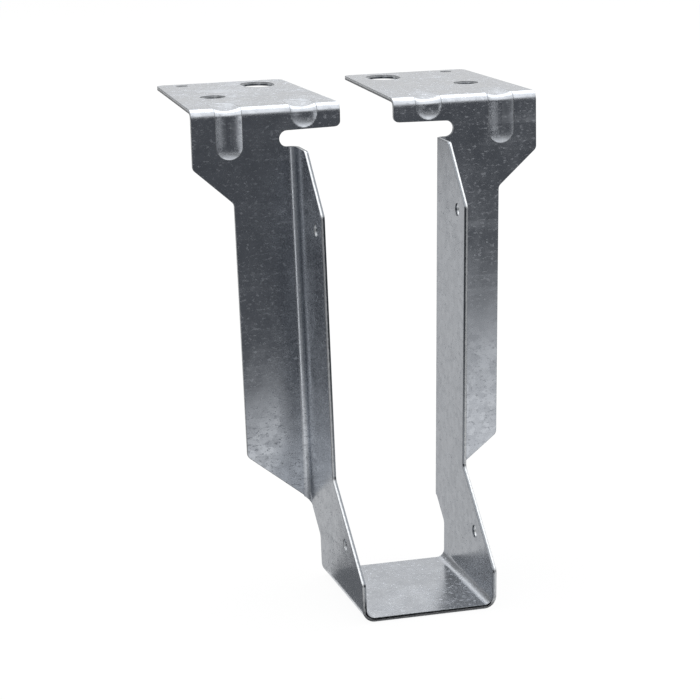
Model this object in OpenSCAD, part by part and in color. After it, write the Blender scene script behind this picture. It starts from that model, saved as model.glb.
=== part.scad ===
// Masonry hanger folded from one sheet. It hooks over the top of a masonry wall
// and carries the end of one joist in the pocket between its two sides.
// Origin: middle of the seat's top face. +Z up, +Y toward the masonry.

/* [Sheet] */
// Thickness of the sheet
sheet_t = 1.5; // [1:0.1:2.5]
// Inside radius of the upright folds between sides and plates
fold_r = 2.5; // [1.5:0.5:3.5]
// Inside radius of the top folds between plates and flanges
top_r = 2; // [2:0.5:3]
// Inside radius of the two folds beside the seat
seat_r = 3; // [2:0.5:5]
// Radius of the rounded corners of the cut outline
corner_r = 2.5; // [1:0.5:4]

/* [Pocket] */
// Clear width between the two sides at the seat, for the joist
joist_w = 47; // [40:1:100]
// Height from the seat to the top of the flanges
hang_h = 175; // [140:5:260]
// Length of the seat, front to back
seat_d = 57; // [46:0.5:75]
// Gap between the masonry face and the back edge of the seat
seat_gap = 14; // [10:0.5:16]

/* [Sides] */
// Distance from the masonry face to the upright front edge of a side
side_d = 35.8; // [30:0.2:44]
// Length of the level edge at the top of a side, from the masonry face
side_top_d = 15.8; // [12:0.2:20]
// Slope of the shoulder of a side, in degrees from level
side_shoulder_a = 46; // [35:1:50]
// Height above the seat where a side starts to widen to the seat's length
flare_z = 41.7; // [37:0.1:60]

/* [Back plates] */
// Width of the narrow part of a back plate, from the side's outer face
plate_w = 23.6; // [18:0.2:34]
// Reach of the wide head of a plate, from the side's outer face
head_reach = 41.25; // [36:0.25:60]
// Reach of the tab over the pocket, from the side's outer face
tab_reach = 14.75; // [11.5:0.25:18]
// Drop from the top of the flange to the outer corner of the wide head
head_drop = 21.7; // [18:0.1:30]
// Slope of the shoulder of a plate, in degrees from level
shoulder_a = 42; // [30:1:50]
// Height above the seat of the lower outer corner of a plate
tail_z = 43.7; // [40:0.1:60]
// Slope of the sheared lower edges of plates and sides, in degrees from level
tail_a = 39.5; // [32:0.5:42]

/* [Relief slot] */
// Drop from the top of the flange to the upper edge of the slot
slot_drop = 9.2; // [9.2:0.2:12]
// Height of the slot that frees the upright fold from the head
slot_h = 6; // [4:0.5:7]
// Radius of the lower inner corner of the tab above the slot
tab_r = 2; // [1:0.5:3]

/* [Top flanges] */
// Reach of a flange over the masonry, from the masonry face
flange_d = 78; // [72:1:100]
// Amount by which each long edge of a flange draws in toward its back edge
flange_taper = 2.8; // [0:0.2:4]
// Radius of the two back corners of a flange
flange_r = 3; // [1:0.5:5]

/* [Stiffening beads] */
// Width of the beads pressed in across the top folds
bead_w = 10; // [8:0.5:10]
// Depth of a bead below the sheet's outer face
bead_depth = 1.2; // [0.6:0.1:1.3]
// Distance of the long bead from the inner edge of the flange
long_bead_in = 42; // [40:0.5:44]
// Straight length of the long bead on the plate, below the fold
long_bead_run = 10.4; // [6:0.2:12]
// Distance of the short bead from the inner edge of the flange
short_bead_in = 13.7; // [13:0.1:15]
// Straight length of every bead on the flange, behind the fold
bead_back_run = 9; // [4:0.5:11]

/* [Holes] */
// Diameter of the nail holes in sides and flanges
nail_d = 4.5; // [3.5:0.1:6]
// Distance of the upper side hole from the masonry face
upper_nail_y = 27.4; // [22:0.2:29]
// Drop from the top of the flange to the middle of the upper side holes
upper_nail_drop = 40.2; // [38:0.2:54]
// Distance of the lower side hole from the masonry face
lower_nail_y = 50; // [42:0.5:54]
// Height of the lower side holes above the seat
lower_nail_z = 21; // [14:0.5:23]
// Difference in height between the two upper side holes, so that their nails pass each other
nail_stagger = 4; // [0:0.5:5]
// Distance of the flange nail hole from the inner edge of the flange
flange_nail_in = 44; // [40:0.5:47]
// Distance of the flange nail hole from the masonry face
flange_nail_y = 72; // [68:0.5:73]
// Diameter of the anchor hole in a flange
anchor_d = 9.5; // [7:0.5:11]
// Distance of the anchor hole from the inner edge of the flange
anchor_in = 40; // [36:0.5:44]
// Distance of the anchor hole from the masonry face
anchor_y = 34; // [28:0.5:40]
// Width of the long hole in a flange
long_hole_w = 12.5; // [9:0.5:13.5]
// Length of the long hole, front to back
long_hole_l = 16.5; // [14:0.5:20]
// Distance of the long hole from the inner edge of the flange
long_hole_in = 15.5; // [13:0.5:18]
// Distance of the middle of the long hole from the masonry face
long_hole_y = 64.5; // [55:0.5:66]

/* [Hidden] */
$fn = 96;
steel = "#b9bdc2";
// Outward lean of a side and its upright fold, in degrees, as the folds beside the seat spring back
side_lean = 1.075;

// Radii of the outer faces of the folds
fold_ro = fold_r + sheet_t;
top_ro = top_r + sheet_t;
seat_ro = seat_r + sheet_t;
// Faces of a side where it stands on its seat fold, measured from the middle
side_in = joist_w / 2;
side_out = side_in + sheet_t;
// Middle of the seat fold, about which a side leans
lean_x = side_in - seat_r;
// Where the flat of a plate starts beside its upright fold: off the middle of the seat fold, and off
// the middle of the seat. Then where the flat of a side starts in front of that fold
plate_off = seat_r + sheet_t + fold_r;
plate_x = lean_x + plate_off;
side_y = sheet_t + fold_r;
// Where the flat of a plate ends below the top fold
plate_top = hang_h - top_ro;
// Front and back of the seat, measured from the masonry face
seat_back = seat_gap;
seat_front = seat_gap + seat_d;

// A derived length, taken to the nearest micron so that pieces drawn apart meet exactly
function micron(v) = round(v * 1000) / 1000;

// Point of a right leg in X and Z, drawn upright, after its side has leaned out
function leant(p) =
    let (x = p[0] - lean_x, z = p[1] - seat_r)
    [
        lean_x + x * cos(side_lean) + z * sin(side_lean),
        seat_r - x * sin(side_lean) + z * cos(side_lean)
    ];

// Outline of a plate: the head stands level under its flange
tab_x = side_out - tab_reach;
head_x = side_out + head_reach;
flange_w = head_x - tab_x;
head_z = hang_h - head_drop;
slot_bottom = hang_h - slot_drop - slot_h;
// The narrow part leans with its upright fold
neck_x = side_out + plate_w;
neck_off = seat_r + sheet_t + plate_w;
neck_rise = head_z - seat_r + neck_off * sin(side_lean)
    - (head_x - lean_x - neck_off * cos(side_lean)) * tan(shoulder_a);
neck = leant([neck_x, seat_r + neck_rise / (cos(side_lean) - sin(side_lean) * tan(shoulder_a))]);
// The sheared lower edge runs on through the upright fold as it did on the flat sheet
tail_in_z = micron(tail_z - (plate_w - fold_r) * tan(tail_a));
fold_len = (fold_r + sheet_t / 2) * PI / 2;
side_tail_z = micron(tail_in_z - fold_len * tan(tail_a));
side_foot_z = micron(side_tail_z - (seat_back - side_y) * tan(tail_a));
// Outline of a side: its top and the top of its fold meet the foot of the slot
side_top_z = micron(seat_r + (slot_bottom - seat_r + plate_off * sin(side_lean)) / cos(side_lean));
// The slot leans with the side; its upper edge frees the tab
slot_mid_z = side_top_z + slot_h / 2;
slot_top_z = side_top_z + slot_h;
slot_end = leant([plate_x, slot_mid_z]);
tab_off = (tab_x - lean_x - (slot_top_z - seat_r) * sin(side_lean)) / cos(side_lean);
tab = leant([lean_x + tab_off, slot_top_z]);
side_shoulder_z = micron(side_top_z - (side_d - side_top_d) * tan(side_shoulder_a));
flare_foot_z = micron(flare_z - (seat_front - side_d) * tan(tail_a));
// Ball that forms a bead: its radius and how far its centre stays off the sheet
bead_r = (bead_w * bead_w / 4 + bead_depth * bead_depth) / (2 * bead_depth);
bead_off = bead_r - bead_depth;
// Holes
upper_nail_z = hang_h - upper_nail_drop;
hole_through = sheet_t * 4;
// A corner's arc reaches this far past its two edges, so that it meets each of them in one clean line
hair = 0.0002;

// Middle of the sheet of a leaning side at height z
function side_mid(z) =
    lean_x + (seat_r + sheet_t / 2 + (z - seat_r) * sin(side_lean)) / cos(side_lean);

function unit(v) = v / norm(v);

// Rounds the outer corner p of a flat shape; a and b are points on its two edges
module corner_cut(p, a, b, r) {
    u = unit(a - p);
    v = unit(b - p);
    half = acos(u * v) / 2;
    k = r / tan(half);
    mid = unit(u + v);
    c = p + mid * r / sin(half);
    difference() {
        polygon([
            p + u * k,
            c,
            p + v * k,
            p + v * k + (p + v * k - c) * 0.5,
            p - mid * r,
            p + u * k + (p + u * k - c) * 0.5
        ]);
        translate(c) circle(r + hair);
    }
}

// Fills the inner corner p of a flat shape; a and b are points on its two edges
module corner_fill(p, a, b, r) {
    u = unit(a - p);
    v = unit(b - p);
    half = acos(u * v) / 2;
    k = r / tan(half);
    mid = unit(u + v);
    c = p + mid * r / sin(half);
    difference() {
        polygon([
            p + u * k,
            c,
            p + v * k,
            p + v * k + (p + v * k - c) * 0.2,
            p - mid * r * 0.1,
            p + u * k + (p + u * k - c) * 0.2
        ]);
        translate(c) circle(r + hair);
    }
}

// Flat outline of the wide head of a right plate, as X and Z
module head_outline() {
    head = [head_x, head_z];
    // Ends of the outline inside the narrow part of the plate
    inside = leant([plate_x + slot_h, side_top_z - slot_h]);
    shoulder_end = neck - corner_r * [1, tan(shoulder_a)];
    difference() {
        union() {
            polygon([
                [tab_x, plate_top],
                [tab_x, slot_end[1]],
                slot_end,
                inside,
                shoulder_end,
                head,
                [head_x, plate_top]
            ]);
            corner_fill(neck, leant([neck_x, tail_z]), head, corner_r);
        }
        corner_cut(tab, [tab_x, plate_top], slot_end + tab - [tab_x, slot_end[1]], tab_r);
        corner_cut(head, [head_x, plate_top], neck, corner_r);
    }
}

// Flat outline of the narrow part of a right plate before it leans, off the middle of the seat fold
module narrow_outline() {
    tail = [neck_off, tail_z];
    difference() {
        polygon([
            [plate_off, slot_mid_z],
            [plate_off, tail_in_z],
            tail,
            [neck_off, slot_mid_z]
        ]);
        corner_cut(tail, [neck_off, slot_mid_z], [plate_off, tail_in_z], corner_r);
        slot_round();
    }
}

// Slot between the tab and the top of the upright fold, before it leans
module slot_outline() {
    translate([-lean_x, side_top_z]) square([plate_x, slot_h]);
    slot_round();
}

module slot_round() {
    translate([plate_off, slot_mid_z]) circle(d = slot_h);
}

// Flat outline of a side before it leans, as distance from the masonry face and height
module side_outline() {
    top = [side_top_d, side_top_z];
    shoulder = [side_d, side_shoulder_z];
    flare = [side_d, flare_z];
    foot = [seat_front, flare_foot_z];
    heel = [seat_back, side_foot_z];
    difference() {
        union() {
            polygon([
                [side_y, side_top_z],
                top,
                shoulder,
                flare,
                foot,
                [seat_front, seat_r],
                [seat_back, seat_r],
                heel,
                [side_y, side_tail_z]
            ]);
            corner_fill(flare, shoulder, foot, corner_r);
            corner_fill(heel, [seat_back, 0], [side_y, side_tail_z], corner_r);
        }
        corner_cut(top, [side_y, side_top_z], shoulder, corner_r);
        corner_cut(shoulder, top, flare, corner_r);
        corner_cut(foot, flare, [seat_front, seat_r], corner_r);
    }
}

// Flat outline of a right flange behind its fold, as X and distance from the masonry face
module flange_outline() {
    in_back = [tab_x + flange_taper, flange_d];
    out_back = [head_x - flange_taper, flange_d];
    in_front = [tab_x, top_r];
    out_front = [head_x, top_r];
    difference() {
        polygon([in_front, in_back, out_back, out_front]);
        corner_cut(in_back, in_front, out_back, flange_r);
        corner_cut(out_back, in_back, out_front, flange_r);
        translate([tab_x + flange_nail_in, flange_nail_y]) circle(d = nail_d);
        translate([tab_x + anchor_in, anchor_y]) circle(d = anchor_d);
        translate([tab_x + long_hole_in, long_hole_y]) long_hole_outline();
    }
}

module long_hole_outline() {
    reach = (long_hole_l - long_hole_w) / 2;
    square([long_hole_w, 2 * reach], center = true);
    for (s = [-1, 1]) translate([0, s * reach]) circle(d = long_hole_w);
}

// Part of a ring that joins two flats, lying in XY and rising along Z
module fold(r, ro, h, turn = 90) {
    rotate_extrude(angle = turn) translate([r, 0]) square([ro - r, h]);
}

// Upright fold between a right side and its plate, sheared off along the tail
module upright_fold() {
    low = micron(side_tail_z - fold_len);
    slant = (tail_in_z - side_tail_z) / (2 * fold_r + sheet_t);
    difference() {
        translate([plate_off, -side_y, low]) rotate([0, 0, 90]) fold(fold_r, fold_ro, side_top_z - low);
        // Plane through the ends of the sheared edges of plate and side
        translate([seat_r + sheet_t / 2, -side_y, side_tail_z]) slanted_block(slant);
    }
}

// Block whose top face rises by the given slant along X and along Y alike
module slanted_block(slant) {
    size = 4 * fold_ro;
    rise = atan(slant * sqrt(2));
    rotate([0, 0, 45]) rotate([0, -rise, 0]) translate([-size, -size, -size])
        cube([2 * size, 2 * size, size]);
}

// Path of a bead swept by a ball of radius r: down the plate, round the fold, back on the flange
module bead_body(r, down) {
    // Fold centre at the origin, plate toward -Z, flange toward +Y
    path_r = top_ro + bead_off;
    translate([0, -path_r, -down]) {
        sphere(r);
        cylinder(r = r, h = down);
    }
    rotate([0, 90, 0]) rotate([0, 0, 180]) rotate_extrude(angle = 90) translate([path_r, 0]) circle(r);
    translate([0, 0, path_r]) rotate([-90, 0, 0]) cylinder(r = r, h = bead_back_run);
    translate([0, bead_back_run, path_r]) sphere(r);
}

// Inside of the corner that the sheet wraps, taken a little way into the sheet
module corner_inside(w) {
    in_r = top_r + sheet_t / 10;
    rotate([90, 0, 90]) linear_extrude(w, center = true) {
        circle(in_r);
        translate([-in_r, -hang_h]) square([in_r + top_r, hang_h]);
        translate([0, -top_r]) square([hang_h, in_r + top_r]);
    }
}

module bead_rib(down) {
    intersection() {
        bead_body(bead_r + sheet_t, down);
        corner_inside(3 * bead_w);
    }
}

module at_bead(x) {
    translate([x, top_r, plate_top]) children();
}

// Leans what was drawn upright off the middle of the right seat fold about that middle
module lean() {
    translate([lean_x, 0, seat_r]) rotate([0, side_lean, 0]) translate([0, 0, -seat_r]) children();
}

// One right leg: side, upright fold, plate, top fold and flange
module leg(stagger) {
    long_x = tab_x + long_bead_in;
    short_x = tab_x + short_bead_in;
    difference() {
        union() {
            difference() {
                rotate([90, 0, 0]) linear_extrude(sheet_t) head_outline();
                lean() translate([0, sheet_t, 0]) rotate([90, 0, 0])
                    linear_extrude(3 * sheet_t) slot_outline();
            }
            lean() {
                rotate([90, 0, 0]) linear_extrude(sheet_t) narrow_outline();
                upright_fold();
                translate([seat_r, 0, 0]) rotate([90, 0, 90])
                    linear_extrude(sheet_t) mirror([1, 0]) side_outline();
            }
            translate([head_x, top_r, plate_top]) rotate([0, -90, 0]) rotate([0, 0, 180]) mirror([1, 0, 0])
                fold(top_r, top_ro, flange_w);
            translate([0, 0, hang_h - sheet_t]) linear_extrude(sheet_t) flange_outline();
            at_bead(long_x) bead_rib(long_bead_run);
            at_bead(short_x) bead_rib(0);
        }
        at_bead(long_x) bead_body(bead_r, long_bead_run);
        at_bead(short_x) bead_body(bead_r, 0);
        nail_hole(upper_nail_y, upper_nail_z + stagger / 2);
        nail_hole(lower_nail_y, lower_nail_z);
    }
}

// Nail hole through a right side, level across the pocket
module nail_hole(y, z) {
    translate([side_mid(z), -y, z]) rotate([0, 90, 0]) cylinder(d = nail_d, h = hole_through, center = true);
}

// Seat and the two folds beside it
module seat() {
    flat = 2 * lean_x;
    translate([-flat / 2, -seat_front, -sheet_t]) cube([flat, seat_d, sheet_t]);
    for (s = [0, 1]) mirror([s, 0, 0])
        translate([lean_x, -seat_back, seat_r]) rotate([90, 0, 0]) rotate([0, 0, -90])
            fold(seat_r, seat_ro, seat_d, 90 - side_lean);
}

module hanger() {
    color(steel)
    translate([0, (seat_front + seat_back) / 2, 0]) {
        seat();
        leg(nail_stagger);
        mirror([1, 0, 0]) leg(-nail_stagger);
    }
}

hanger();
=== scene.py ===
import math

import bmesh
import bpy
from mathutils import Matrix, Vector
from mathutils.bvhtree import BVHTree


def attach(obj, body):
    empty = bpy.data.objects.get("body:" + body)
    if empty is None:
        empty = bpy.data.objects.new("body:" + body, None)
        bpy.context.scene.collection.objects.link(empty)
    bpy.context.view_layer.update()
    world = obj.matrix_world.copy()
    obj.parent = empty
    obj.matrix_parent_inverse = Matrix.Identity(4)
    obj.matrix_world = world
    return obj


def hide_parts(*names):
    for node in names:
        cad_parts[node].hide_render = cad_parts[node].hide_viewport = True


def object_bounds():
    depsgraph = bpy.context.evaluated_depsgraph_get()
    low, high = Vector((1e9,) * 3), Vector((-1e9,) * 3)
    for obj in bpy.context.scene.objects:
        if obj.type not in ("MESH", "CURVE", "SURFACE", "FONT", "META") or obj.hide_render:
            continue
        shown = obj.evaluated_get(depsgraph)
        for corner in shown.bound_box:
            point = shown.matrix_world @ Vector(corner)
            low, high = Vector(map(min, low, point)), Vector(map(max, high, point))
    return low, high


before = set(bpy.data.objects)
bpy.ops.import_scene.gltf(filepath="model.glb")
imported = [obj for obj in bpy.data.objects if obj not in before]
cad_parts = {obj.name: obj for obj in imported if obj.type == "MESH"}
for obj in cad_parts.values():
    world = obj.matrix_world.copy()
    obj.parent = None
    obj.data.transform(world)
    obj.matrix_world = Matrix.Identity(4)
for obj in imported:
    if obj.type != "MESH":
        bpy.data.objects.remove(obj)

MM = 0.001
SHEET = 1.5 * MM
cad_low, cad_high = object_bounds()


# Nodes and colours

def linear(hex_colour):
    """An sRGB hex value such as "#c3c7cc" as the linear RGBA that a socket takes."""
    parts = [int(hex_colour[i:i + 2], 16) / 255 for i in (1, 3, 5)]
    return tuple(p / 12.92 if p <= 0.04045 else ((p + 0.055) / 1.055) ** 2.4 for p in parts) + (1.0,)


def add(tree, kind, settings=None, links=None):
    """Adds one shader node. Settings are its properties or its sockets' values, and links are its
    sockets' sources."""
    node = tree.nodes.new("ShaderNode" + kind)
    for name, value in (settings or {}).items():
        if isinstance(name, str) and name[0].islower():
            setattr(node, name, value)
        else:
            node.inputs[name].default_value = value
    for name, source in (links or {}).items():
        tree.links.new(source, node.inputs[name])
    return node


def new_material(name):
    material = bpy.data.materials.new(name)
    material.use_nodes = True
    material.node_tree.nodes.clear()
    return material, material.node_tree


def millimetres(tree, stretch=(1, 1, 1)):
    """Object coordinates counted in millimetres, for patterns whose scale is one over their real size."""
    place = add(tree, "TexCoord")
    scaled = add(tree, "Mapping", {"Scale": Vector(stretch) / MM}, {"Vector": place.outputs["Object"]})
    return scaled.outputs["Vector"]


# Materials

BUMP_HEIGHT = 0.05 * MM
BUMP_STRENGTH = 0.3


def galvanised_sheet(name="hot_dip_galvanised_sheet"):
    """Steel strip dipped in molten zinc and rolled flat. The zinc freezes in small grains, so the sheet
    mirrors its surroundings almost sharply, with duller clouds and freckles and a few level scuffs."""
    grain_mm, cloud_mm, freckle_mm, scuff_mm = 2.5, 16, 1.7, 5
    waver_mm, waver_by_mm = 1.25, 1.8
    material, tree = new_material(name)
    mm = millimetres(tree)

    # Zinc grains, with edges broken up by a finer noise
    waver = add(tree, "TexNoise", {"Scale": 1 / waver_mm, "Detail": 3.0}, {"Vector": mm})
    wobble = add(tree, "VectorMath", {"operation": "SCALE", "Scale": waver_by_mm},
                 {0: waver.outputs["Color"]})
    wavering = add(tree, "VectorMath", {"operation": "ADD"}, {0: mm, 1: wobble.outputs["Vector"]})
    grains = add(tree, "TexVoronoi", {"feature": "F1", "Scale": 1 / grain_mm},
                 {"Vector": wavering.outputs["Vector"]})
    grain_tone = add(tree, "SeparateColor", None, {"Color": grains.outputs["Color"]}).outputs["Red"]

    # Clouds where the coating froze faster or slower
    cloud_place = millimetres(tree, stretch=(1, 1, 0.7))
    cloud = add(tree, "TexNoise", {"Scale": 1 / cloud_mm, "Detail": 6.0, "Roughness": 0.66},
                {"Vector": cloud_place})
    # Freckles, wider than high; the real ones are finer and drawn this coarse to show
    freckle_place = millimetres(tree, stretch=(1, 1, 1.8))
    freckle = add(tree, "TexNoise", {"Scale": 1 / freckle_mm, "Detail": 3.0, "Roughness": 0.6},
                  {"Vector": freckle_place})
    # Level scuffs from the rolls and the press, drawn out to more than 100 mm long
    scuff_place = millimetres(tree, stretch=(0.03, 0.03, 1))
    scuff = add(tree, "TexNoise", {"Scale": 1 / scuff_mm, "Detail": 5.0, "Roughness": 0.7},
                {"Vector": scuff_place})

    patch = add(tree, "MapRange", {"From Min": 0.42, "From Max": 0.66}, {"Value": cloud.outputs["Fac"]})
    speck = add(tree, "MapRange", {"From Min": 0.56, "From Max": 0.70}, {"Value": freckle.outputs["Fac"]})
    scuff_line = add(tree, "MapRange", {"From Min": 0.52, "From Max": 0.72}, {"Value": scuff.outputs["Fac"]})

    # Roughness: clean zinc is nearly a mirror, clouds, freckles and scuffs scatter more
    total = add(tree, "Math", {"operation": "MULTIPLY", 1: 0.05}, {0: grain_tone})
    for source, weight in ((patch, 0.11), (speck, 0.27), (scuff_line, 0.11)):
        total = add(tree, "Math", {"operation": "MULTIPLY_ADD", 1: weight},
                    {0: source.outputs["Result"], 2: total.outputs[0]})
    # The zinc crazes in the folds and beads and turns duller there
    bent = add(tree, "Attribute", {"attribute_name": "bent"})
    total = add(tree, "Math", {"operation": "MULTIPLY_ADD", 1: 0.06},
                {0: bent.outputs["Fac"], 2: total.outputs[0]})
    rough = add(tree, "Math", {"operation": "ADD", 1: 0.13}, {0: total.outputs[0]})

    # Colour: bluish zinc grey, a little darker in freckles and duller grains
    tone = add(tree, "Math", {"operation": "MULTIPLY", 1: 0.40}, {0: grain_tone})
    tone = add(tree, "Math", {"operation": "MULTIPLY_ADD", 1: 0.25},
               {0: speck.outputs["Result"], 2: tone.outputs[0]})
    colour = add(tree, "MixRGB", {"Color1": linear("#c1c5cb"), "Color2": linear("#989ca3")},
                 {"Fac": tone.outputs[0]})

    # Relief: the coating undulates by a few hundredths of a millimetre at most, mostly in the clouds
    relief = add(tree, "Math", {"operation": "MULTIPLY", 1: 0.6}, {0: cloud.outputs["Fac"]})
    for source, weight in ((grain_tone, 0.05), (freckle.outputs["Fac"], 0.12)):
        relief = add(tree, "Math", {"operation": "MULTIPLY_ADD", 1: weight},
                     {0: source, 2: relief.outputs[0]})
    bump = add(tree, "Bump", {"Strength": BUMP_STRENGTH, "Distance": BUMP_HEIGHT},
               {"Height": relief.outputs[0]})

    shader = add(tree, "BsdfPrincipled", {"Metallic": 1.0},
                 {"Base Color": colour.outputs["Color"], "Roughness": rough.outputs[0],
                  "Normal": bump.outputs["Normal"]})
    add(tree, "OutputMaterial", None, {"Surface": shader.outputs["BSDF"]})
    return material


def sheared_edge(name="sheared_steel_edge"):
    """Steel strip's cut edge. The shear first polishes a band beside the face it enters and then tears the
    rest, so the edge is smooth along one side and satin along the other. Its colours are partly painted
    light: the polished band is painted dark for the dark it mirrors, and the torn band pale for the lamp's
    light it catches."""
    tear_mm = 0.9
    material, tree = new_material(name)
    mm = millimetres(tree)
    tear = add(tree, "TexNoise", {"Scale": 1 / tear_mm, "Detail": 4.0}, {"Vector": mm})
    ragged = add(tree, "MapRange", {"To Min": -0.12, "To Max": 0.12}, {"Value": tear.outputs["Fac"]})
    # 0 at the outer skin and 1 at the inner one, which the shear enters
    across = add(tree, "Attribute", {"attribute_name": "shear_side"})
    depth = add(tree, "Math", {"operation": "ADD"}, {0: across.outputs["Fac"], 1: ragged.outputs["Result"]})
    polished = add(tree, "MapRange", {"interpolation_type": "SMOOTHSTEP", "From Min": 0.46, "From Max": 0.56},
                   {"Value": depth.outputs[0]})
    # Painted light: the torn band's pale greys stand for the lamp's light it catches, the polished band's
    # dark grey for the dark it mirrors
    torn = add(tree, "MixRGB", {"Color1": linear("#e4e6e8"), "Color2": linear("#b4b7ba")},
               {"Fac": tear.outputs["Fac"]})
    colour = add(tree, "MixRGB", {"Color2": linear("#7e8287")},
                 {"Fac": polished.outputs["Result"], "Color1": torn.outputs["Color"]})
    rough = add(tree, "MapRange", {"To Min": 0.44, "To Max": 0.18}, {"Value": polished.outputs["Result"]})
    bump = add(tree, "Bump", {"Strength": BUMP_STRENGTH, "Distance": BUMP_HEIGHT},
               {"Height": tear.outputs["Fac"]})
    shader = add(tree, "BsdfPrincipled", {"Metallic": 1.0},
                 {"Base Color": colour.outputs["Color"], "Roughness": rough.outputs["Result"],
                  "Normal": bump.outputs["Normal"]})
    add(tree, "OutputMaterial", None, {"Surface": shader.outputs["BSDF"]})
    return material


def painted_rim_shade(name="grey_rim_with_painted_shade"):
    """The thin eased rims of the cut edges and the bead creases, dull and darker than the sheet: painted
    shade, so every cut edge and every bead has a fine grey outline."""
    blotch_mm = 2.5
    material, tree = new_material(name)
    mm = millimetres(tree)
    broken = add(tree, "TexNoise", {"Scale": 1 / blotch_mm, "Detail": 3.0}, {"Vector": mm})
    # Painted shade: two dark greys, broken into blotches, darker than the zinc beside them
    colour = add(tree, "MixRGB", {"Color1": linear("#5f6266"), "Color2": linear("#96999d")},
                 {"Fac": broken.outputs["Fac"]})
    shader = add(tree, "BsdfPrincipled", {"Metallic": 1.0, "Roughness": 0.5},
                 {"Base Color": colour.outputs["Color"]})
    add(tree, "OutputMaterial", None, {"Surface": shader.outputs["BSDF"]})
    return material


# The sheet

# Its material slots: rolled faces, cut edges, and the rims and creases between them
ROLLED, CUT, RIM = 0, 1, 2
# Its rolled skins: the inner one runs from the seat's top to the undersides of the flanges
OUTER, INNER = 0, 1

# The top fold: its axis, its outer and inner radius, and the flange's top beyond it
FOLD_Y, FOLD_Z = 44.5 * MM, 171.5 * MM
FOLD_OUT = 3.5 * MM
FOLD_IN = FOLD_OUT - SHEET
FLANGE_TOP = FOLD_Z + FOLD_OUT

# The short beads: their middle from the hanger's, half their width, their depth and the ball that
# presses them, how far from the middle corners are looked at, and the grid that lets the ball's round
# show on the flat tab
BEAD_X = 23.95 * MM
BEAD_HALF_WIDTH = 5 * MM
BEAD_DEPTH = 1.2 * MM
BALL_R = (BEAD_HALF_WIDTH ** 2 + BEAD_DEPTH ** 2) / (2 * BEAD_DEPTH)
BEAD_REACH = 5.5 * MM
GRID = 0.385 * MM
GRID_STEPS = 14

# The beads' run-out on the flanges: its length and the share of their depth that it takes away
RUN_OUT = 6 * MM
RUN_OUT_SHARE = 0.78

RIM_WIDTH = 0.16 * MM
CREASE_WIDTH = 0.12 * MM

# Slack: in merging corners, in comparing places, and in telling which skin a corner lies on
TIGHT = 0.001 * MM
HAIR = 0.01 * MM
NEAR_SKIN = 0.06 * MM


def cut_across(bm, geom, axis, places):
    """Cuts faces by planes square to one axis, and gives them back with their edges and corners."""
    for place in places:
        geom = bmesh.ops.bisect_plane(bm, geom=geom, plane_co=axis * place, plane_no=axis,
                                      dist=1e-8)["geom"]
    return geom


def open_dish_end(bm, middle):
    """Takes away the upright step in which the flange's dish stops at the fold, and says where the
    step's corners were across the hanger, for each skin."""
    step = [f for f in bm.faces
            if all(abs(v.co.y - FOLD_Y) < HAIR and abs(v.co.x - middle) < BEAD_REACH for v in f.verts)]
    between_skins = FLANGE_TOP - SHEET + 0.05 * MM
    ends = {OUTER: set(), INNER: set()}
    for vert in [v for f in step for v in f.verts]:
        ends[OUTER if vert.co.z > between_skins else INNER].add(round(vert.co.x, 7))
    bmesh.ops.delete(bm, geom=step, context="FACES")
    return ends


def fold_and_tab_faces(bm, middle, top, skins):
    """The faces of fold and tab by one bead and below a height, on the skins asked for, with their
    edges and corners."""
    faces = []
    for face in bm.faces:
        across = [v.co.x for v in face.verts]
        highest = max(v.co.z for v in face.verts)
        corner = face.verts[0].co
        from_axis = math.hypot(corner.y - FOLD_Y, max(corner.z - FOLD_Z, 0))
        skin = OUTER if from_axis > FOLD_OUT - SHEET / 2 else INNER
        if (skin in skins and FOLD_Z - BEAD_REACH < highest < top
                and max(v.co.y for v in face.verts) < FOLD_Y + HAIR
                and min(across) < middle + BEAD_REACH and max(across) > middle - BEAD_REACH):
            faces.append(face)
    edges = dict.fromkeys(e for f in faces for e in f.edges)
    corners = dict.fromkeys(v for f in faces for v in f.verts)
    return faces + list(edges) + list(corners)


def press_ball(bm, middle):
    """Draws both skins in as far as the ball presses them: on the fold toward its axis, and on the tab
    straight back."""
    ball_from_axis = FOLD_OUT + BALL_R - BEAD_DEPTH
    for vert in bm.verts:
        u = vert.co.x - middle
        if abs(u) > BEAD_REACH or vert.co.y > FOLD_Y + HAIR or vert.co.z < FOLD_Z - BEAD_REACH:
            continue
        below = max(FOLD_Z - vert.co.z, 0)
        from_axis = math.hypot(vert.co.y - FOLD_Y, max(vert.co.z - FOLD_Z, 0))
        # The inner skin follows the ball at one sheet's distance
        for skin, ball in ((FOLD_OUT, BALL_R), (FOLD_IN, BALL_R + SHEET)):
            if abs(from_axis - skin) > NEAR_SKIN or u * u + below * below >= ball * ball:
                continue
            pressed = min(skin, ball_from_axis - math.sqrt(ball * ball - u * u - below * below))
            if pressed < skin - 1e-7:
                shrink = pressed / from_axis
                vert.co.y = FOLD_Y + (vert.co.y - FOLD_Y) * shrink
                if vert.co.z > FOLD_Z:
                    vert.co.z = FOLD_Z + (vert.co.z - FOLD_Z) * shrink


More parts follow.
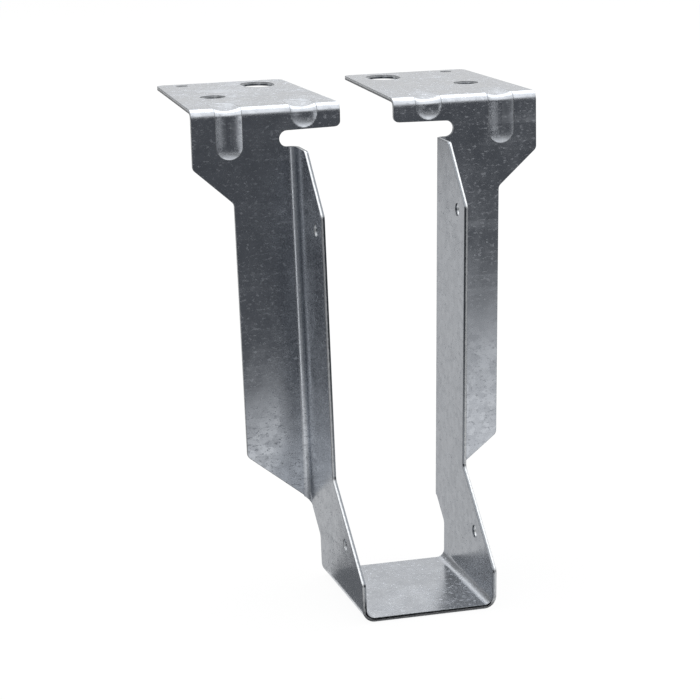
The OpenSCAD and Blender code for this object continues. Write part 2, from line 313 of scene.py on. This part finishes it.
def press_short_beads(bm):
    """Presses each short bead round the top fold and onto the tab, up to the dish that the flange
    already has. The solid has these beads on the flanges alone."""
    sideways, upward = Vector((1, 0, 0)), Vector((0, 0, 1))
    for side in (-1, 1):
        middle = side * BEAD_X
        ends = open_dish_end(bm, middle)
        # Cuts round the fold to meet the dish, each skin for itself, then a fine grid on the tab alone
        for skin in (OUTER, INNER):
            near = fold_and_tab_faces(bm, middle, math.inf, (skin,))
            cut_across(bm, near, sideways, sorted(ends[skin]))
        near = fold_and_tab_faces(bm, middle, FOLD_Z + 0.05 * MM, (OUTER, INNER))
        near = cut_across(bm, near, sideways,
                          [middle + step * GRID for step in range(-GRID_STEPS, GRID_STEPS + 1)])
        cut_across(bm, near, upward, [FOLD_Z - step * GRID for step in range(1, GRID_STEPS + 1)])
        press_ball(bm, middle)
        seam = [v for v in bm.verts
                if abs(v.co.y - FOLD_Y) < 2 * HAIR and abs(v.co.x - middle) < BEAD_REACH]
        bmesh.ops.remove_doubles(bm, verts=seam, dist=NEAR_SKIN)
    bmesh.ops.dissolve_degenerate(bm, edges=bm.edges, dist=TIGHT)


def tell_cut_edges(bm):
    """Gives each face its material: a rolled face has its twin one sheet behind it, a cut edge has not."""
    tree = BVHTree.FromBMesh(bm)
    for face in bm.faces:
        inside = face.calc_center_median() - face.normal * 2 * HAIR
        thickness = tree.ray_cast(inside, -face.normal, 3 * SHEET)[3]
        rolled = thickness is not None and thickness < SHEET * 1.1
        face.material_index = ROLLED if rolled else CUT


def same_skin(start):
    """All rolled faces that hang together with one, across folds but not across a cut edge."""
    skin, fresh = {start}, [start]
    while fresh:
        face = fresh.pop()
        for edge in face.edges:
            for other in edge.link_faces:
                if other.material_index == ROLLED and other not in skin:
                    skin.add(other)
                    fresh.append(other)
    return skin


def skin_of(vert, skin_layer):
    """The skin that a corner belongs to, or else that of a rolled face close by."""
    for face in vert.link_faces:
        if face.material_index == ROLLED:
            return face[skin_layer]
    for face in vert.link_faces:
        for other in (f for v in face.verts for f in v.link_faces):
            if other.material_index == ROLLED:
                return other[skin_layer]
    return None


def ease(bm, edges, width, segments):
    """Bevels edges and gives the new faces the rim's material."""
    eased = bmesh.ops.bevel(bm, geom=edges, offset=width, offset_type="OFFSET", affect="EDGES",
                            segments=segments, profile=0.5, material=-1, clamp_overlap=False)["faces"]
    for face in eased:
        face.material_index = RIM
    return eased


def mark_shear_side(bm, skin_layer, shear_side):
    """Writes on each corner of a cut edge how near it lies to the inner skin, 1, or the outer one, 0."""
    for vert in bm.verts:
        if any(f.material_index == CUT for f in vert.link_faces):
            near = {f for rim in vert.link_faces if rim.material_index == RIM
                    for v in rim.verts for f in v.link_faces}
            near |= {f for rim in near if rim.material_index == RIM
                     for v in rim.verts for f in v.link_faces}
            skins = [f[skin_layer] for f in near if f.material_index == ROLLED]
            vert[shear_side] = sum(skins) / len(skins) if skins else 0.5


def run_beads_out(bm, skin_layer):
    """Lets the beads' dishes on the flanges grow shallow behind the fold."""
    lowest = 170 * MM
    deepest = BEAD_DEPTH + 0.1 * MM
    for vert in bm.verts:
        if vert.co.y <= FOLD_Y or vert.co.z <= lowest:
            continue
        fade = min((vert.co.y - FOLD_Y) / RUN_OUT, 1)
        keep = 1 - RUN_OUT_SHARE * fade * fade * (3 - 2 * fade)
        for height, skin in ((FLANGE_TOP, OUTER), (FLANGE_TOP - SHEET, INNER)):
            if -HAIR < height - vert.co.z < deepest and skin_of(vert, skin_layer) == skin:
                vert.co.z = height - (height - vert.co.z) * keep


def folded_sheet(node):
    """The hanger's own solid, merged, with its cut edges told from its two rolled skins and eased
    as shearing leaves them."""
    bm = bmesh.new()
    bm.from_mesh(node.data)
    skin_layer = bm.faces.layers.int.new("of_inner")
    bent = bm.faces.layers.float.new("bent")
    shear_side = bm.verts.layers.float.new("shear_side")
    bmesh.ops.remove_doubles(bm, verts=bm.verts, dist=2 * TIGHT)
    bmesh.ops.dissolve_degenerate(bm, edges=bm.edges, dist=TIGHT)
    bm.normal_update()
    tell_cut_edges(bm)
    press_short_beads(bm)
    bm.normal_update()
    bmesh.ops.dissolve_limit(bm, angle_limit=math.radians(0.6), verts=bm.verts, edges=bm.edges,
                             delimit={"MATERIAL"})
    seat_top = min((f for f in bm.faces if f.normal.z > 0.99), key=lambda f: f.calc_center_median().length)
    for face in same_skin(seat_top):
        face[skin_layer] = INNER

    rims = [e for e in bm.edges if e.calc_face_angle(0) > math.radians(50)
            and e.link_faces[0].material_index != e.link_faces[1].material_index]
    ease(bm, rims, RIM_WIDTH, 2)
    mark_shear_side(bm, skin_layer, shear_side)
    creases = [e for e in bm.edges if math.radians(15) < e.calc_face_angle(0) < math.radians(45)
               and e.link_faces[0].material_index == ROLLED and e.link_faces[1].material_index == ROLLED]
    crease_faces = ease(bm, creases, CREASE_WIDTH, 1)
    run_beads_out(bm, skin_layer)

    # Rolled faces more than 2 degrees off the three axes are folds and beads; the sides lean less
    bm.normal_update()
    square = math.cos(math.radians(2))
    for face in bm.faces:
        face[bent] = 0.0 if max(abs(c) for c in face.normal) > square else 1.0
        face.smooth = True
    for edge in bm.edges:
        edge.smooth = edge.calc_face_angle(0) < math.radians(32)
    for edge in {e for f in crease_faces for e in f.edges}:
        edge.smooth = False

    mesh = bpy.data.meshes.new("folded_sheet")
    bm.to_mesh(mesh)
    bm.free()
    piece = bpy.data.objects.new("folded_sheet", mesh)
    bpy.context.scene.collection.objects.link(piece)
    for material in (galvanised_sheet(), sheared_edge(), painted_rim_shade()):
        piece.data.materials.append(material)
    even = piece.modifiers.new("even_normals", "WEIGHTED_NORMAL")
    even.keep_sharp = True
    even.weight = 100
    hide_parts("hanger")
    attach(piece, "root")
    return piece


# Floor, surroundings and light

# The floor lies just below the hanger, and cards lie on it just below the hanger too
FLOOR_LEVEL = cad_low.z - 0.3 * MM
CARD_LEVEL = cad_low.z - 0.2 * MM


def white_paper(name="white_floor_paper"):
    """Plain white sweep paper. The camera and the metal's reflections see it nearly as the white
    background, and the rest of it stays matt paper, which keeps the hanger's shadow."""
    white_share = 0.93
    material, tree = new_material(name)
    path = add(tree, "LightPath")
    seen = path.outputs["Is Camera Ray"]
    for ray in ("Is Glossy Ray", "Is Transmission Ray"):
        seen = add(tree, "Math", {"operation": "MAXIMUM"}, {0: seen, 1: path.outputs[ray]}).outputs[0]
    paper = add(tree, "BsdfDiffuse", {"Color": linear("#e8e8e8")})
    white = add(tree, "Emission", {"Color": (1, 1, 1, 1), "Strength": 1.0})
    share = add(tree, "Math", {"operation": "MULTIPLY", 1: white_share}, {0: seen})
    mix = add(tree, "MixShader", None, {0: share.outputs[0], 1: paper.outputs[0], 2: white.outputs[0]})
    add(tree, "OutputMaterial", None, {"Surface": mix.outputs[0]})
    return material


def lit_card(name, hex_colour):
    """An evenly lit card, as the metal sees it."""
    material, tree = new_material(name)
    light = add(tree, "Emission", {"Color": linear(hex_colour), "Strength": 1.0})
    add(tree, "OutputMaterial", None, {"Surface": light.outputs[0]})
    return material


def fading_canopy(name="fading_canopy"):
    """White cloth lit from overhead, dim along its front and bright toward the softbox."""
    material, tree = new_material(name)
    place = add(tree, "TexCoord")
    along = add(tree, "SeparateXYZ", None, {"Vector": place.outputs["Object"]})
    fade = add(tree, "MapRange", {"interpolation_type": "SMOOTHSTEP", "From Min": -1.3, "From Max": -0.7,
                                  "To Min": 0.15, "To Max": 1.5}, {"Value": along.outputs["Y"]})
    light = add(tree, "Emission", {"Color": (1, 1, 1, 1)}, {"Strength": fade.outputs["Result"]})
    add(tree, "OutputMaterial", None, {"Surface": light.outputs[0]})
    return material


def felt_edge(name="black_felt_with_lit_edge"):
    """Felt that is pale toward the hanger and dark beyond a slanted line, which is softer further right."""
    off_line, along_line = (0.630, 0.778, 0), (0.745, -0.667, 0)
    line_distance = 0.140
    widening, least_width = 0.22, 0.004
    material, tree = new_material(name)
    place = add(tree, "TexCoord").outputs["Object"]
    off = add(tree, "VectorMath", {"operation": "DOT_PRODUCT", 1: off_line}, {0: place})
    along = add(tree, "VectorMath", {"operation": "DOT_PRODUCT", 1: along_line}, {0: place})
    wide = add(tree, "Math", {"operation": "MULTIPLY_ADD", 1: widening, 2: least_width},
               {0: along.outputs["Value"]})
    edge = add(tree, "Math", {"operation": "ADD", 1: line_distance}, {0: off.outputs["Value"]})
    share = add(tree, "Math", {"operation": "DIVIDE"}, {0: edge.outputs[0], 1: wide.outputs[0]})
    lit = add(tree, "MapRange", {"interpolation_type": "SMOOTHSTEP", "From Min": -1.0, "From Max": 1.0},
              {"Value": share.outputs[0]})
    colour = add(tree, "MixRGB", {"Color1": linear("#5a5c60"), "Color2": linear("#fafafa")},
                 {"Fac": lit.outputs["Result"]})
    light = add(tree, "Emission", {"Strength": 1.0}, {"Color": colour.outputs["Color"]})
    add(tree, "OutputMaterial", None, {"Surface": light.outputs[0]})
    return material


def stage_piece(name, bm, material):
    mesh = bpy.data.meshes.new(name)
    bm.to_mesh(mesh)
    bm.free()
    obj = bpy.data.objects.new(name, mesh)
    bpy.context.scene.collection.objects.link(obj)
    obj.data.materials.append(material)
    return obj


def card(name, size, place, facing, material):
    """A flat card of a width and height, with its middle at a place."""
    bm = bmesh.new()
    bmesh.ops.create_grid(bm, x_segments=1, y_segments=1, size=0.5)
    bmesh.ops.scale(bm, vec=(size[0], size[1], 1), verts=bm.verts)
    turn = Vector(facing).to_track_quat("Z", "Y").to_matrix().to_4x4()
    bmesh.ops.transform(bm, matrix=Matrix.Translation(Vector(place)) @ turn, verts=bm.verts)
    return stage_piece(name, bm, material)


def seen_in_metal_only(obj):
    obj.visible_camera = False
    obj.visible_diffuse = False
    obj.visible_shadow = False


def standing_card(name, size, middle, facing, material):
    """A card that stands on the floor, for the metal to mirror."""
    place = (middle[0], middle[1], cad_low.z + size[1] / 2)
    seen_in_metal_only(card(name, size, place, facing, material))


def floor_card(name, outline, material):
    """A card on the floor, for the metal to mirror, from its convex outline's corners in millimetres."""
    bm = bmesh.new()
    corners = [bm.verts.new((x * MM, y * MM, CARD_LEVEL)) for x, y in outline]
    bmesh.ops.contextual_create(bm, geom=corners)
    bmesh.ops.recalc_face_normals(bm, faces=bm.faces)
    if bm.faces[:][0].normal.z < 0:
        bmesh.ops.reverse_faces(bm, faces=bm.faces)
    seen_in_metal_only(stage_piece(name, bm, material))


def softbox(name, place, size, watts):
    """A rectangular lamp that hangs level and shines straight down."""
    data = bpy.data.lights.new(name, "AREA")
    data.shape = "RECTANGLE"
    data.size, data.size_y = size
    data.energy = watts
    obj = bpy.data.objects.new(name, data)
    bpy.context.scene.collection.objects.link(obj)
    aim = Vector((0, 0, -1)).to_track_quat("-Z", "Y").to_matrix().to_4x4()
    obj.matrix_world = Matrix.Translation(Vector(place)) @ aim


def white_surroundings():
    world = bpy.data.worlds.new("surroundings")
    bpy.context.scene.world = world
    world.use_nodes = True
    world.node_tree.nodes.clear()
    white = add(world.node_tree, "Background", {"Color": (1, 1, 1, 1), "Strength": 1.0})
    add(world.node_tree, "OutputWorld", None, {"Surface": white.outputs[0]})


def studio():
    """White paper and light all round, and the cards that give the plates their dark and pale parts."""
    card("floor", (8, 8), (0, 0, FLOOR_LEVEL), (0, 0, 1), white_paper())

    # Black felt lies on the floor in front from a slanted line on, with flags behind it, so that the
    # upright plates mirror it above and the white floor below
    felt = lit_card("black_felt", "#5a5c60")
    floor_card("front_felt", [(-60, -67), (1250, -613), (1250, -1600), (-760, -1500)], felt_edge())
    floor_card("right_felt", [(420, -180), (1600, -100), (1600, -1400), (560, -700)], felt)
    standing_card("front_flag", (2.1, 0.6), (0.32, -1.4), (0, 1, 0), felt)
    standing_card("right_flag", (1.4, 0.6), (1.5, -0.75), (-1, 0, 0), felt)
    floor_card("seat_shade", [(-26, -29), (26, -29), (26, -50), (-26, -50)],
               lit_card("shade_before_seat", "#2c2d2f"))

    # A canopy over the front fades from the black flag up to the softbox overhead
    seen_in_metal_only(card("front_canopy", (3.0, 1.53), (0, -0.66, cad_low.z + 0.95), (0, 0.45, -1),
                            fading_canopy()))

    # Dark cloth on the left and at the left back, beyond a white gap that lights the upright folds
    cloth = lit_card("grey_cloth", "#7b7d80")
    floor_card("left_cloth", [(-230, -190), (-230, 300), (-1300, 500), (-1300, -1260)], cloth)
    standing_card("left_flag", (1.7, 0.6), (-1.2, -0.35), (1, 0, 0), cloth)
    standing_card("back_left_flag", (0.9, 0.6), (-0.56, 1.1), (0, -1, 0),
                  lit_card("mid_grey_card", "#939393"))
    standing_card("back_right_card", (1.6, 0.75), (0.7, 1.62), (0, -1, 0),
                  lit_card("pale_grey_card", "#e2e2e2"))

    # Grey paper lies behind, and the floor beside the left foot is in shade
    floor_card("back_paper", [(-28, 29), (300, 29), (300, 1500), (-700, 1500), (-228, 90)],
               lit_card("grey_paper", "#d0d0d0"))
    floor_card("left_shade", [(-27, -35), (-27, 24), (-55, 84), (-150, 84), (-150, -8), (-52, -35)],
               lit_card("shaded_paper", "#707275"))

    white_surroundings()
    softbox("top_softbox", (0, 0.9, 1.25), (2.6, 1.8), 26.5)


# The camera, fitted to the photo: in front, left of the middle and above the flanges, looking down

CAM_AZ, CAM_EL, CAM_ROLL = (math.radians(a) for a in (-15.2955, 13.5405, -1.3205))
CAM_DISTANCE = 872.3 * MM
CAM_TARGET = Vector((-8.155, 42.5, 80.85)) * MM
FOCAL_PIXELS = 2309.99
PICTURE_PIXELS = 700


def make_camera():
    back = Vector((math.sin(CAM_AZ) * math.cos(CAM_EL), -math.cos(CAM_AZ) * math.cos(CAM_EL),
                   math.sin(CAM_EL)))
    level = (-back).cross(Vector((0, 0, 1))).normalized()
    upright = level.cross(-back)
    right = level * math.cos(CAM_ROLL) + upright * math.sin(CAM_ROLL)
    up = upright * math.cos(CAM_ROLL) - level * math.sin(CAM_ROLL)
    data = bpy.data.cameras.new("camera")
    data.sensor_width = 36
    data.lens = FOCAL_PIXELS / PICTURE_PIXELS * data.sensor_width
    data.clip_start, data.clip_end = 0.05, 30
    camera = bpy.data.objects.new("camera", data)
    bpy.context.scene.collection.objects.link(camera)
    turn = Matrix((right, up, back)).transposed().to_4x4()
    camera.matrix_world = Matrix.Translation(CAM_TARGET + back * CAM_DISTANCE) @ turn
    bpy.context.scene.camera = camera


folded_sheet(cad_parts["hanger"])
studio()
make_camera()
bpy.context.scene.view_settings.view_transform = "Standard"
